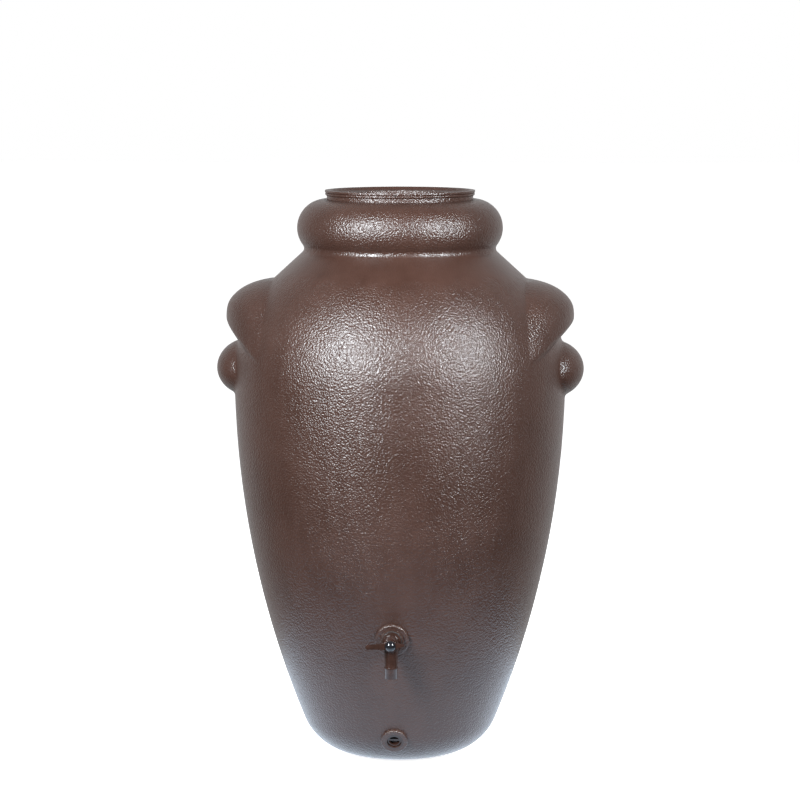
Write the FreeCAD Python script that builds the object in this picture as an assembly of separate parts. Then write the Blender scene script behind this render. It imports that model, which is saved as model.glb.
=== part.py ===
import FreeCAD, Part
import math
import os

# Rain barrel: an urn-shaped, rotationally moulded water butt with a planter in its neck,
# a quarter-turn tap, a low drain plug and a rear overflow.
# Millimetres. +Z is up, the tap faces -Y, and the origin is the centre of the base.

V = FreeCAD.Vector
X_AXIS = V(1, 0, 0)
Z_AXIS = V(0, 0, 1)
FRONT = V(0, -1, 0)
BACK = V(0, 1, 0)

# ---- barrel shell ----
WALL = 5.0               # moulded wall
HEIGHT = 1050.0          # floor to the top of the planter flange
BELLY_R = 307.0          # largest radius of the body
BELLY_BELOW_TOP = 334.5  # largest radius below the top of the planter flange
BASE_R = 154.0           # radius at which the side wall's arc would reach the floor
CORNER_R = 98.0          # arc between the side wall and the base
SHOULDER_ARC_R = 238.0   # arc from the belly to the shoulder cone
CREASE_ANGLE = 47.0      # the cone aims at the neck roll this far below its equator
NECK_ROLL_R = 52.5       # round section of the neck roll
NECK_OUT = 2.5           # centre of the roll's section, outside the collar's wall
NECK_CENTRE_BELOW = 69.0 # the roll's centre below the top of the planter flange
CREASE_FILLET = 10.0     # hollow between the shoulder and the neck roll
COLLAR_R = 135.0         # outside of the short collar on top of the neck
COLLAR_WALL = 5.0
LIP_BEAD_R = 3.0         # rolled bead round the collar's top
FOOT_RECESS_R = 60.0     # shallow recess in the base, so that it stands on a ring
FOOT_RECESS_DEPTH = 3.0

# ---- upper side lugs: hollow hoods on +X and -X ----
HOOD_TIP_OUT = 15.0      # furthest reach, past the belly
HOOD_TIP_UP = 111.5      # height of the tip above the belly
HOOD_TOP_RISE = 59.5     # tip up to the top, where the hood leaves the shoulder
HOOD_BOTTOM_DROP = 90.0  # tip down to the lowest section, which the underside cuts away
HOOD_ROOT_IN = 65.0      # plane in which the hood meets the body, inside the belly
HOOD_ROOT_LEAN = 0.08    # the plane leans in by this much per millimetre of height
HOOD_CREST_IN = 82.0     # the hood's upper outline curves back to this far inside the belly
HOOD_ROUNDING = 1.9      # power of that curve: 2 is an ellipse
UNDERSIDE_IN = 44.0      # a point on the slanted underside, inside the belly
UNDERSIDE_UP = 41.5      # and above it
UNDERSIDE_ANGLE = 42.0
HOOD_EDGE_FILLET = 16.0
HOOD_SECTIONS = 10
HOOD_ARC_POINTS = 10

# ---- lower side lugs: half-buried hollow knobs ----
KNOB_IN = 26.0           # centre inside the belly radius
KNOB_UP = 5.5            # centre above the belly
KNOB_SIZE = (60.0, 87.0, 53.0)   # half axes along X, Y and Z

LUG_FILLET = 10.0        # hollow where each lug leaves the body

# ---- bands that the one-piece shell is divided into ----
FOOT_BAND_ABOVE = 14.0   # first joint above the drain boss
WALL_BAND_BELOW = 22.0   # second joint below the knobs
NECK_BAND_BELOW = 6.0    # third joint below the neck roll

# ---- planter bowl and its debris screen ----
FLANGE_THICK = 3.7
FLANGE_OVERHANG = 0.5    # flange past the bead of the collar
SEAT_GAP = 0.3           # planter flange above the collar
SKIRT_CLEARANCE = 1.0    # planter skirt inside the collar
SKIRT_WALL = 3.0
SKIRT_DEPTH = 16.0
RIM_BEAD_WIDTH = 8.0     # raised rim outside the rain ledge
LEDGE_DROP = 5.0         # ledge below the rim
LEDGE_SLOPE_DROP = 5.0   # fall of the ledge from its outside to the pocket's mouth
POCKET_MOUTH_R = 95.0
POCKET_FLOOR_R = 80.0
POCKET_DEPTH = 180.0
BOWL_WALL = 4.0
POCKET_LIP_RISE = 4.0    # lip round the mouth that keeps soil out of the ledge
POCKET_DRAIN_R = 5.0
POCKET_DRAIN_PCD = 90.0
POCKET_DRAINS = 6
INLET_COUNT = 12
INLET_WIDTH = 7.0
INLET_MARGIN = 7.0       # ledge left inside and outside each inlet slot
NOTCH_WIDTH = 9.0        # keying notch in the flange's front
NOTCH_DEPTH = 2.5
SCREEN_THICK = 1.0
SCREEN_DROP = 10.0       # screen below the ledge's lowest point
SCREEN_SLOT_WIDTH = 2.0
SCREEN_SLOTS = 72
RETAINER_THICK = 4.0
RETAINER_RING = 4.5      # width of each retainer ring
RETAINER_EDGE_GAP = 0.6  # retainer inside the skirt
SCREEN_SCREWS = 6
POST_R = 4.5
POST_PILOT_R = 1.5
SCREW_HEAD_R = 3.6
SCREW_HEAD_HEIGHT = 2.4
SCREW_LENGTH = 9.0
SCREW_HOLE_R = 2.0

# ---- tap ----
TAP_Z = 259.0
TAP_BOSS_R = 31.0        # raised round boss, square to the sloping wall
TAP_BOSS_PROUD = 5.0
TAP_BOSS_ROUND = 3.0
TAP_PAD_RIM = 4.0        # upright pad round the insert, so that the tap stands level
TAP_PAD_PROUD = 10.5     # pad face in front of the wall at the tap's height
BOSS_DEPTH = 27.0        # moulded boss behind each threaded insert's face
INSERT_WALL = 3.8
INSERT_LENGTH = 21.0
INSERT_FLAT_DEPTH = 1.5  # depth of the two flats that stop the insert turning
PIPE_THREAD_R = 13.2     # three-quarter-inch pipe thread, outside
GASKET_THICK = 1.5
GASKET_WIDTH = 4.8
TAP_FLANGE_WIDTH = 3.8
TAP_FLANGE_THICK = 3.0
SHANK_WALL = 5.2
SHANK_LENGTH = 20.0
VALVE_R = 12.5
VALVE_LENGTH = 28.0
CHAMBER_R = 9.0
SPOUT_TOP_R = 13.2
SPOUT_LOW_R = 11.0       # the spout tapers to this at its collar
SPOUT_BORE_R = 6.5
SPOUT_SETBACK = 14.0     # spout's centre in front of the flange
SPOUT_DROP = 63.0        # tap axis down to the nozzle's end
SPOUT_COLLAR_DROP = 45.0
SPOUT_COLLAR_R = 12.2
SPOUT_COLLAR_HEIGHT = 2.6
NOZZLE_R = 11.3
NOZZLE_BORE_R = 8.5
NOZZLE_BORE_DEPTH = 16.0
ROTOR_CLEARANCE = 0.05
ROTOR_WALL = 2.45
ROTOR_LENGTH = 20.5
ROTOR_BACK_GAP = 1.5
ROTOR_PORT_R = 5.5
STEM_R = 5.0
ORING_TUBE_R = 0.9
BONNET_THICK = 2.5
BONNET_SPIGOT = 2.0
STEM_CLEARANCE = 0.3
LEVER_GAP = 0.5          # lever in front of the bonnet
LEVER_THICK = 6.5
LEVER_HUB_R = 10.5
LEVER_LONG_ARM = 40.0
LEVER_SHORT_ARM = 25.0
LEVER_TIP_R = 4.6
LEVER_ROOT_HALF = 6.8
LEVER_TILT = 3.5         # the long arm hangs this far below level when shut
LEVER_RECESS_R = 4.6
LEVER_RECESS_DEPTH = 3.0
LEVER_SCREW_R = 2.0
LEVER_SCREW_LENGTH = 12.0
LEVER_SCREW_HEAD_R = 4.0
LEVER_SCREW_HEAD_HEIGHT = 2.6
CAP_R = 9.6
CAP_HEIGHT = 6.0

# ---- drain ----
DRAIN_Z = 57.0
DRAIN_BOSS_RIM = 7.5     # boss round the insert
DRAIN_BOSS_PROUD = 5.0
DRAIN_BOSS_ROUND = 2.5
PLUG_RECESS = 3.0        # plug face below the insert's face
PLUG_LENGTH = 14.0
PLUG_CLEARANCE = 0.3
PLUG_WALL = 3.4
PLUG_SOCKET_DEPTH = 9.0
PLUG_BAR_WIDTH = 4.2     # bar across the socket, to turn the plug by
PLUG_BAR_HEIGHT = 6.0
PLUG_SEAL_TUBE_R = 1.1
PLUG_SEAL_FROM_FACE = 2.6
PLUG_SEAL_CLEARANCE = 0.1

# ---- overflow ----
OVERFLOW_Z = 850.0
OVERFLOW_PAD_WALL = 4.5  # round the cup that holds the nut
OVERFLOW_PAD_PROUD = 18.0
OVERFLOW_CUP_GAP = 2.4   # cup outside the nut's corners
OVERFLOW_FACE_THICK = 6.0
OVERFLOW_FLANGE_WIDTH = 4.8
OVERFLOW_FLANGE_THICK = 3.0
OVERFLOW_WALL = 4.2      # spigot's wall at its thread
OVERFLOW_THREAD_R = 13.2
OVERFLOW_TAIL = 18.0     # thread reaching in past the pad's face wall
OVERFLOW_NUT_WALL = 3.3  # nut's wall at the middle of each flat
OVERFLOW_NUT_THICK = 7.0
BARB_WALL = 2.5
BARB_LENGTH = 16.0
BARB_RIDGES = 3
BARB_RIDGE = 1.2

OVERLAP = 1.0            # how far a cutting tool runs past the face it opens


# ---------------------------------------------------------------- helpers
def cylinder(radius, length, base, direction):
    return Part.makeCylinder(radius, length, base, direction)


def ring(outer, inner, length, base, direction):
    return cylinder(outer, length, base, direction).cut(cylinder(inner, length, base, direction))


def radial(r, z):
    """Point in the section plane of the revolved bodies."""
    return V(r, 0, z)


def line(a, b):
    return Part.makeLine(a, b)


def arc(centre, radius, start_deg, end_deg):
    """Arc in the XZ plane, angles from +X towards +Z."""
    middle = (start_deg + end_deg) / 2.0
    points = [centre + V(math.cos(math.radians(a)), 0, math.sin(math.radians(a))) * radius
              for a in (start_deg, middle, end_deg)]
    return Part.Arc(*points).toShape()


def polar(centre, radius, angle_deg):
    turn = math.radians(angle_deg)
    return centre + V(math.cos(turn), 0, math.sin(turn)) * radius


def revolve(edges):
    face = Part.Face(Part.Wire(edges))
    return face.revolve(V(0, 0, 0), Z_AXIS, 360)


def revolve_points(points):
    """Revolve a closed outline of (radius, height) corners about Z."""
    corners = [radial(r, z) for r, z in points]
    return revolve(Part.makePolygon(corners + [corners[0]]).Edges)


def about_z(shape, angle_deg):
    turned = shape.copy()
    turned.rotate(V(0, 0, 0), Z_AXIS, angle_deg)
    return turned


def mirror_x(shape):
    return shape.mirror(V(0, 0, 0), X_AXIS)


def fuse_all(shapes):
    return shapes[0].multiFuse(shapes[1:]).removeSplitter()


def fillet_where(shape, radius, chosen):
    """Round every edge for which chosen(edge) is true."""
    return shape.makeFillet(radius, [edge for edge in shape.Edges if chosen(edge)])


def save(name, shape):
    shape.exportStep("parts/%s.step" % name)


# ---------------------------------------------------------------- body outline
BELLY_Z = HEIGHT - BELLY_BELOW_TOP
TAPER = BELLY_R - BASE_R
# The side wall's arc is upright at the belly and passes through (BASE_R, 0).
SIDE_ARC_R = (TAPER ** 2 + BELLY_Z ** 2) / (2.0 * TAPER)
SIDE_CENTRE = radial(BELLY_R - SIDE_ARC_R, BELLY_Z)
SHOULDER_CENTRE = radial(BELLY_R - SHOULDER_ARC_R, BELLY_Z)
NECK_CENTRE = radial(COLLAR_R + NECK_OUT, HEIGHT - NECK_CENTRE_BELOW)


def tangent_angle(target):
    """Turn of the shoulder arc at which its tangent passes through target."""
    away = target - SHOULDER_CENTRE
    return math.degrees(math.atan2(away.z, away.x) - math.acos(SHOULDER_ARC_R / away.Length))


SHOULDER_ANGLE = tangent_angle(polar(NECK_CENTRE, NECK_ROLL_R, -CREASE_ANGLE))
# The corner arc touches the side arc from inside and the base plane from above.
CORNER_ANGLE = -math.degrees(math.asin((BELLY_Z - CORNER_R) / (SIDE_ARC_R - CORNER_R)))
CORNER_CENTRE = polar(SIDE_CENTRE, SIDE_ARC_R - CORNER_R, CORNER_ANGLE)


def side_radius(z):
    """Outside radius of the body below the shoulder cone, at height z."""
    if z >= BELLY_Z:
        rise = z - BELLY_Z
        return SHOULDER_CENTRE.x + math.sqrt(SHOULDER_ARC_R ** 2 - rise ** 2)
    corner_top = polar(SIDE_CENTRE, SIDE_ARC_R, CORNER_ANGLE).z
    if z >= corner_top:
        return SIDE_CENTRE.x + math.sqrt(SIDE_ARC_R ** 2 - (BELLY_Z - z) ** 2)
    return CORNER_CENTRE.x + math.sqrt(CORNER_R ** 2 - (CORNER_CENTRE.z - z) ** 2)


def shoulder_radius(z):
    """Outside radius of the shoulder, with its cone, at height z."""
    cone_start = polar(SHOULDER_CENTRE, SHOULDER_ARC_R, SHOULDER_ANGLE)
    if z <= cone_start.z:
        return side_radius(z)
    return cone_start.x - (z - cone_start.z) * math.tan(math.radians(SHOULDER_ANGLE))


def crease_points(inset):
    """Centre and tangent points of the hollow between the cone and the neck roll."""
    hollow = CREASE_FILLET + inset
    cone_start = polar(SHOULDER_CENTRE, SHOULDER_ARC_R - inset, SHOULDER_ANGLE)
    normal = polar(V(0, 0, 0), 1.0, SHOULDER_ANGLE)
    along = polar(V(0, 0, 0), 1.0, SHOULDER_ANGLE + 90.0)
    # The centre is hollow away from the cone and NECK_ROLL_R + CREASE_FILLET from the roll.
    foot = cone_start + normal * hollow - NECK_CENTRE
    reach = NECK_ROLL_R + CREASE_FILLET
    half_b = foot.dot(along)
    step = -half_b - math.sqrt(half_b ** 2 - foot.dot(foot) + reach ** 2)
    centre = cone_start + normal * hollow + along * step
    on_cone = centre - normal * hollow
    to_neck = NECK_CENTRE - centre
    angle_on_roll = math.degrees(math.atan2(-to_neck.z, -to_neck.x))
    return centre, on_cone, angle_on_roll


def body_section(inset):
    """Edges of half the body's section, from the base's centre to the neck roll's top."""
    base_z = inset
    side_r = SIDE_ARC_R - inset
    corner_r = CORNER_R - inset
    shoulder_r = SHOULDER_ARC_R - inset
    roll_r = NECK_ROLL_R - inset
    hollow_r = CREASE_FILLET + inset
    hollow_centre, on_cone, roll_start = crease_points(inset)
    cone_start = polar(SHOULDER_CENTRE, shoulder_r, SHOULDER_ANGLE)
    collar_r = COLLAR_R if inset == 0 else COLLAR_R - COLLAR_WALL
    roll_end = math.degrees(math.acos((collar_r - NECK_CENTRE.x) / roll_r))
    hollow_from = SHOULDER_ANGLE + 180.0
    hollow_to = roll_start + 180.0
    return [
        line(radial(0, base_z), radial(CORNER_CENTRE.x, base_z)),
        arc(CORNER_CENTRE, corner_r, -90.0, CORNER_ANGLE),
        arc(SIDE_CENTRE, side_r, CORNER_ANGLE, 0.0),
        arc(SHOULDER_CENTRE, shoulder_r, 0.0, SHOULDER_ANGLE),
        line(cone_start, on_cone),
        arc(hollow_centre, hollow_r, hollow_from, hollow_to),
        arc(NECK_CENTRE, roll_r, roll_start, roll_end),
    ]


def closed_body(inset, top_z):
    """The body as one revolved solid, closed by a collar of its own radius up to top_z."""
    edges = body_section(inset)
    collar_r = COLLAR_R if inset == 0 else COLLAR_R - COLLAR_WALL
    roll_top = edges[-1].valueAt(edges[-1].LastParameter)
    top = radial(collar_r, top_z)
    closing = [line(roll_top, top), line(top, radial(0, top_z)), line(radial(0, top_z), radial(0, inset))]
    return revolve(edges + closing)


# ---------------------------------------------------------------- side lugs
HOOD_TIP_R = BELLY_R + HOOD_TIP_OUT
HOOD_TIP_Z = BELLY_Z + HOOD_TIP_UP
HOOD_ROOT_X = BELLY_R - HOOD_ROOT_IN
HOOD_CREST_X = BELLY_R - HOOD_CREST_IN
UNDERSIDE_X = BELLY_R - UNDERSIDE_IN
UNDERSIDE_Z = BELLY_Z + UNDERSIDE_UP
KNOB_CENTRE = V(BELLY_R - KNOB_IN, 0, BELLY_Z + KNOB_UP)


def hood_reach(z):
    """Reach of the hood from the barrel's axis at height z, above and below its tip."""
    if z <= HOOD_TIP_Z:
        return HOOD_TIP_R
    rise = (z - HOOD_TIP_Z) / HOOD_TOP_RISE
    return HOOD_CREST_X + (HOOD_TIP_R - HOOD_CREST_X) * math.sqrt(1.0 - rise ** HOOD_ROUNDING)


def hood_section(z, inset):
    """Closed outline of the hood at height z: an arc that leaves the body on its root plane."""
    root_x = HOOD_ROOT_X - HOOD_ROOT_LEAN * (z - UNDERSIDE_Z)
    half_width = math.sqrt(max(shoulder_radius(z) ** 2 - root_x ** 2, 1.0))
    reach = hood_reach(z)
    depth = reach - root_x
    radius = (half_width ** 2 + depth ** 2) / (2.0 * depth)
    centre_x = reach - radius
    inner_r = radius - inset
    buried_x = max(HOOD_ROOT_X - 40.0, centre_x - 0.8 * inner_r)
    half = math.sqrt(inner_r ** 2 - (buried_x - centre_x) ** 2)
    spread = math.atan2(half, buried_x - centre_x)
    turns = [spread * (2.0 * i / HOOD_ARC_POINTS - 1.0) for i in range(HOOD_ARC_POINTS + 1)]
    points = [V(centre_x + inner_r * math.cos(a), inner_r * math.sin(a), z) for a in turns]
    outside = Part.BSplineCurve()
    outside.interpolate(points)
    return Part.Wire([outside.toShape(), line(points[-1], points[0])])


def hood(inset):
    """Solid hood, inset from its outer surface, on the +X side."""
    low = HOOD_TIP_Z - HOOD_BOTTOM_DROP
    high = HOOD_TIP_Z + HOOD_TOP_RISE - inset - 2.0
    steps = [math.sin(math.pi / 2.0 * i / HOOD_SECTIONS) for i in range(HOOD_SECTIONS + 1)]
    heights = [low + (high - low) * s for s in steps]
    body = Part.makeLoft([hood_section(z, inset) for z in heights], True, False, False, 3)
    slope = math.radians(UNDERSIDE_ANGLE)
    along = V(math.cos(slope), 0, math.sin(slope))
    inward = V(-math.sin(slope), 0, math.cos(slope))
    start = V(UNDERSIDE_X, 0, UNDERSIDE_Z) + inward * inset - along * 200.0
    far = along * 400.0
    down = inward * -200.0
    side = V(0, HOOD_TIP_R, 0)
    corners = [start - side, start - side + far, start - side + far + down, start - side + down]
    underneath = Part.Face(Part.makePolygon(corners + [corners[0]])).extrude(side * 2.0)
    body = body.cut(underneath)

    def lower_edge(edge):
        point = edge.valueAt((edge.FirstParameter + edge.LastParameter) / 2.0)
        on_plane = abs((point - start).dot(inward)) < 0.01
        return on_plane and point.x > HOOD_ROOT_X

    return fillet_where(body, HOOD_EDGE_FILLET - inset, lower_edge)


def knob(inset):
    """Ellipsoid on the +X side, half buried in the body."""
    ball = Part.makeSphere(1.0)
    stretch = FreeCAD.Matrix()
    stretch.scale(*[half - inset for half in KNOB_SIZE])
    stretch.move(KNOB_CENTRE)
    return ball.transformGeometry(stretch)


def blend_on(body, lug, radius):
    """The lug fused to the body, with a hollow of this radius all round where they meet."""
    seam = body.section(lug)

    def on_seam(edge):
        span = edge.LastParameter - edge.FirstParameter
        places = [edge.valueAt(edge.FirstParameter + span * share) for share in (0.3, 0.5)]
        return all(Part.Vertex(place).distToShape(seam)[0] < 0.01 for place in places)

    return fillet_where(body.fuse(lug), radius, on_seam)


def lugged_body(inset, top_z):
    half_space = Part.makeBox(2 * BELLY_R, 4 * BELLY_R, 2 * HEIGHT, V(0, -2 * BELLY_R, -OVERLAP))
    side = closed_body(inset, top_z).common(half_space)
    for lug in (hood(inset), knob(inset)):
        side = blend_on(side, lug.common(half_space), LUG_FILLET + inset)
    return fuse_all([side, mirror_x(side)])


# ---------------------------------------------------------------- places
COLLAR_TOP = HEIGHT - FLANGE_THICK - SEAT_GAP
LIP_R = COLLAR_R + LIP_BEAD_R
COLLAR_BORE_R = COLLAR_R - COLLAR_WALL
INSERT_R = PIPE_THREAD_R + INSERT_WALL
INSERT_FLAT = INSERT_R - INSERT_FLAT_DEPTH
TAP_PAD_R = INSERT_R + TAP_PAD_RIM
# The tap's upright pad ends in front of the wall at the tap's own height.
TAP_PAD_Y = side_radius(TAP_Z) + TAP_PAD_PROUD
TAP_FLANGE_Y = TAP_PAD_Y + GASKET_THICK
VALVE_Y = TAP_FLANGE_Y + TAP_FLANGE_THICK
SPOUT_Y = VALVE_Y + SPOUT_SETBACK
BONNET_Y = VALVE_Y + VALVE_LENGTH
LEVER_Y = BONNET_Y + BONNET_THICK + LEVER_GAP
CAP_Y = LEVER_Y + LEVER_THICK
ROTOR_BACK_Y = VALVE_Y + ROTOR_BACK_GAP
ROTOR_FRONT_Y = ROTOR_BACK_Y + ROTOR_LENGTH
# The drain's axis is square to the corner arc at DRAIN_Z.
DRAIN_ANGLE = math.degrees(math.asin((DRAIN_Z - CORNER_CENTRE.z) / CORNER_R))
DRAIN_OUT = V(0, -math.cos(math.radians(DRAIN_ANGLE)), math.sin(math.radians(DRAIN_ANGLE)))
DRAIN_FACE = V(0, -side_radius(DRAIN_Z), DRAIN_Z) + DRAIN_OUT * DRAIN_BOSS_PROUD
DRAIN_BOSS_R = INSERT_R + DRAIN_BOSS_RIM
# The tap's round boss is square to the side arc at TAP_Z.
TAP_LEAN = math.asin((BELLY_Z - TAP_Z) / SIDE_ARC_R)
TAP_BOSS_OUT = V(0, -math.cos(TAP_LEAN), -math.sin(TAP_LEAN))
TAP_BOSS_FACE = V(0, -side_radius(TAP_Z), TAP_Z) + TAP_BOSS_OUT * TAP_BOSS_PROUD
OVERFLOW_PAD_Y = side_radius(OVERFLOW_Z) + OVERFLOW_PAD_PROUD
OVERFLOW_INSIDE_Y = OVERFLOW_PAD_Y - OVERFLOW_FACE_THICK
OVERFLOW_FLANGE_R = OVERFLOW_THREAD_R + OVERFLOW_FLANGE_WIDTH
OVERFLOW_BORE_R = OVERFLOW_THREAD_R - OVERFLOW_WALL
OVERFLOW_NUT_CORNER_R = (OVERFLOW_THREAD_R + OVERFLOW_NUT_WALL) / math.cos(math.pi / 6.0)
OVERFLOW_CUP_R = OVERFLOW_NUT_CORNER_R + OVERFLOW_CUP_GAP
OVERFLOW_PAD_R = OVERFLOW_CUP_R + OVERFLOW_PAD_WALL


def tap_point(y, z=TAP_Z):
    """Point on the tap's centre plane, y in front of the barrel's axis."""
    return V(0, -y, z)


def round_boss(radius, face, outward, rounding, depth):
    """Moulded boss: a disc with a rounded edge, from its face back into the wall."""
    disc = cylinder(radius, depth, face - outward * depth, outward)
    return fillet_where(disc, rounding, lambda edge: (edge.CenterOfMass - face).Length < OVERLAP)


# ---------------------------------------------------------------- barrel
def collar_bead():
    bead_z = COLLAR_TOP - LIP_BEAD_R
    bead = Part.makeTorus(COLLAR_R, LIP_BEAD_R, V(0, 0, bead_z), Z_AXIS)
    return bead.cut(cylinder(COLLAR_R - LIP_BEAD_R / 2.0, HEIGHT, V(0, 0, 0), Z_AXIS))


def insert_shape(face, outward):
    """Outside form of a moulded-in threaded insert: round with two flats."""
    back = face - outward * INSERT_LENGTH
    form = cylinder(INSERT_R, INSERT_LENGTH, back, outward)
    across = X_AXIS
    sideways = outward.cross(across)
    for side in (1, -1):
        block = Part.makeBox(4 * INSERT_R, 2 * INSERT_R, INSERT_LENGTH / 2.0)
        block.translate(V(-2 * INSERT_R, 0, 0))
        turn = FreeCAD.Rotation(across * side, sideways * side, outward, "ZXY")
        corner = back + sideways * side * INSERT_FLAT
        block.Placement = FreeCAD.Placement(corner, turn).multiply(block.Placement)
        form = form.cut(block)
    return form


def moulded_shell():
    outside = lugged_body(0.0, COLLAR_TOP)
    inside = lugged_body(WALL, HEIGHT)
    shell = outside.cut(inside)
    tap_pad = cylinder(TAP_PAD_R, BOSS_DEPTH, tap_point(TAP_PAD_Y - BOSS_DEPTH), FRONT)
    tap_boss = round_boss(TAP_BOSS_R, TAP_BOSS_FACE, TAP_BOSS_OUT, TAP_BOSS_ROUND, TAP_BOSS_PROUD + WALL)
    drain_boss = round_boss(DRAIN_BOSS_R, DRAIN_FACE, DRAIN_OUT, DRAIN_BOSS_ROUND, BOSS_DEPTH)
    overflow_depth = OVERFLOW_PAD_PROUD + 2 * WALL + OVERFLOW_PAD_R
    overflow_root = V(0, OVERFLOW_PAD_Y - overflow_depth, OVERFLOW_Z)
    overflow_pad = cylinder(OVERFLOW_PAD_R, overflow_depth, overflow_root, BACK)
    overflow_pad = fillet_where(
        overflow_pad, LIP_BEAD_R, lambda edge: edge.CenterOfMass.y > OVERFLOW_INSIDE_Y)
    overflow_cup = cylinder(OVERFLOW_CUP_R, BELLY_R, V(0, OVERFLOW_INSIDE_Y - BELLY_R, OVERFLOW_Z), BACK)
    overflow_hole = cylinder(OVERFLOW_THREAD_R, BELLY_R, V(0, OVERFLOW_INSIDE_Y - OVERLAP, OVERFLOW_Z), BACK)
    foot = cylinder(FOOT_RECESS_R, FOOT_RECESS_DEPTH, V(0, 0, 0), Z_AXIS)
    foot_wall = cylinder(FOOT_RECESS_R + WALL, FOOT_RECESS_DEPTH + WALL, V(0, 0, 0), Z_AXIS)
    shell = fuse_all([shell, collar_bead(), tap_boss, tap_pad, drain_boss, overflow_pad, foot_wall])
    cuts = [overflow_cup, overflow_hole, foot]
    cuts.append(insert_shape(tap_point(TAP_PAD_Y), FRONT))
    cuts.append(insert_shape(DRAIN_FACE, DRAIN_OUT))
    tap_back = tap_point(TAP_PAD_Y - BOSS_DEPTH - OVERLAP)
    cuts.append(cylinder(PIPE_THREAD_R, BOSS_DEPTH + OVERLAP, tap_back, FRONT))
    drain_back = DRAIN_FACE - DRAIN_OUT * (BOSS_DEPTH + OVERLAP)
    cuts.append(cylinder(PIPE_THREAD_R, BOSS_DEPTH + OVERLAP, drain_back, DRAIN_OUT))
    return shell.cut(cuts)


# The shell is one moulding. Its bands meet face to face and make its collision simple.
MOULDED_SHELL = moulded_shell()
FOOT_TOP_Z = DRAIN_Z + DRAIN_BOSS_R + FOOT_BAND_ABOVE
WALL_TOP_Z = KNOB_CENTRE.z - KNOB_SIZE[2] - WALL_BAND_BELOW
SHOULDER_TOP_Z = NECK_CENTRE.z - NECK_ROLL_R * math.sin(math.radians(CREASE_ANGLE)) - NECK_BAND_BELOW


def shell_band(low, high):
    band = cylinder(2 * BELLY_R, high - low, V(0, 0, low), Z_AXIS)
    return MOULDED_SHELL.common(band)


def shell_foot():
    return shell_band(-OVERLAP, FOOT_TOP_Z)


def shell_wall():
    return shell_band(FOOT_TOP_Z, WALL_TOP_Z)


def shell_shoulder():
    return shell_band(WALL_TOP_Z, SHOULDER_TOP_Z)


def shell_neck():
    return shell_band(SHOULDER_TOP_Z, HEIGHT)


# ---------------------------------------------------------------- planter and screen
MOUTH_Z = HEIGHT - LEDGE_DROP - LEDGE_SLOPE_DROP
RIM_IN_R = LIP_R + FLANGE_OVERHANG - RIM_BEAD_WIDTH
SKIRT_R = COLLAR_BORE_R - SKIRT_CLEARANCE
SCREEN_Z = MOUTH_Z - BOWL_WALL - SCREEN_DROP
SCREEN_OUT_R = SKIRT_R - SKIRT_WALL - RETAINER_EDGE_GAP
SCREEN_IN_R = POCKET_MOUTH_R + RETAINER_EDGE_GAP + BOWL_WALL
SCREW_CIRCLE_R = (SCREEN_OUT_R + SCREEN_IN_R) / 2.0


def planter_bowl():
    rim_r = LIP_R + FLANGE_OVERHANG
    under = HEIGHT - FLANGE_THICK
    mouth_in = POCKET_MOUTH_R - BOWL_WALL
    floor_z = HEIGHT - POCKET_DEPTH
    outline = [
        (rim_r, under), (rim_r, HEIGHT), (RIM_IN_R, HEIGHT), (RIM_IN_R - LEDGE_DROP, HEIGHT - LEDGE_DROP),
        (POCKET_MOUTH_R, MOUTH_Z), (POCKET_MOUTH_R, MOUTH_Z + POCKET_LIP_RISE),
        (mouth_in, MOUTH_Z + POCKET_LIP_RISE), (POCKET_FLOOR_R - BOWL_WALL, floor_z + BOWL_WALL),
        (0, floor_z + BOWL_WALL), (0, floor_z), (POCKET_FLOOR_R, floor_z),
        (POCKET_MOUTH_R, MOUTH_Z - BOWL_WALL), (SKIRT_R - SKIRT_WALL, HEIGHT - LEDGE_DROP - BOWL_WALL),
        (SKIRT_R - SKIRT_WALL, under - SKIRT_DEPTH), (SKIRT_R, under - SKIRT_DEPTH), (SKIRT_R, under),
    ]
    bowl = revolve_points(outline)
    inlet_length = (RIM_IN_R - LEDGE_DROP) - POCKET_MOUTH_R - 2 * INLET_MARGIN
    inlet = Part.makeBox(inlet_length, INLET_WIDTH, 4 * BOWL_WALL)
    inlet.translate(V(POCKET_MOUTH_R + INLET_MARGIN, -INLET_WIDTH / 2.0, MOUTH_Z - 2 * BOWL_WALL))
    inlets = [about_z(inlet, 360.0 * i / INLET_COUNT) for i in range(INLET_COUNT)]
    drain = cylinder(POCKET_DRAIN_R, 3 * BOWL_WALL, V(POCKET_DRAIN_PCD / 2.0, 0, floor_z - BOWL_WALL), Z_AXIS)
    drains = [about_z(drain, 360.0 * i / POCKET_DRAINS) for i in range(POCKET_DRAINS)]
    notch_tip = V(0, NOTCH_DEPTH - rim_r, under - OVERLAP)
    notch_side = V(NOTCH_WIDTH / 2.0, -rim_r - OVERLAP, under - OVERLAP)
    notch_other = V(-NOTCH_WIDTH / 2.0, -rim_r - OVERLAP, under - OVERLAP)
    notch_face = Part.Face(Part.makePolygon([notch_tip, notch_side, notch_other, notch_tip]))
    notch = notch_face.extrude(Z_AXIS * (FLANGE_THICK + 2 * OVERLAP))
    post_top = MOUTH_Z + LEDGE_SLOPE_DROP / 2.0
    posts = []
    pilots = []
    for angle in screw_angles():
        post = cylinder(POST_R, post_top - SCREEN_Z, V(SCREW_CIRCLE_R, 0, SCREEN_Z), Z_AXIS)
        pilot = cylinder(POST_PILOT_R, SCREW_LENGTH, V(SCREW_CIRCLE_R, 0, SCREEN_Z - OVERLAP), Z_AXIS)
        posts.append(about_z(post, angle))
        pilots.append(about_z(pilot, angle))
    return bowl.cut(inlets + drains + [notch]).multiFuse(posts).cut(pilots)


def screw_angles():
    """The posts stand midway between inlet slots."""
    return [360.0 * (i + 0.5 * SCREEN_SCREWS / INLET_COUNT) / SCREEN_SCREWS for i in range(SCREEN_SCREWS)]


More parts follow.
